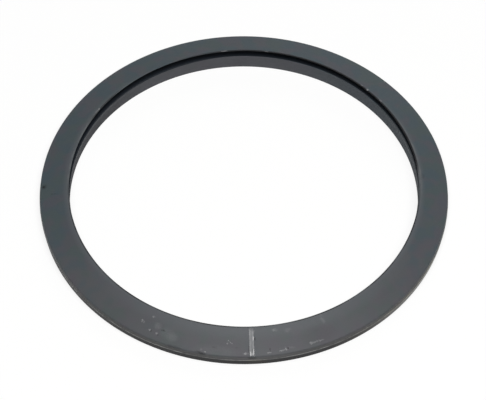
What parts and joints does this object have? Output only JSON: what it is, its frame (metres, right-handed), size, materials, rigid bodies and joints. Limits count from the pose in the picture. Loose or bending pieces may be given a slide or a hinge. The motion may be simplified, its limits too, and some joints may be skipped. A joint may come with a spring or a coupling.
{
  "type": "turbo gasket",
  "caption": "Flat-based rubber sealing ring with a coned sealing face, a thin inner lip over an undercut slot, and a straight bore.",
  "frame": {"origin": "middle of the flat base, on the ring's axis", "axes": "+Z along the ring's axis, from the flat base towards the lip; -Y towards the witness band"},
  "size_m": [0.1, 0.1, 0.0061],
  "materials": {
    "moulded_rubber": "dark slate grey moulded rubber, matt with a soft sheen"
  },
  "bodies": {
    "root": {"seal_ring": "moulded_rubber"}
  },
  "joints": []
}
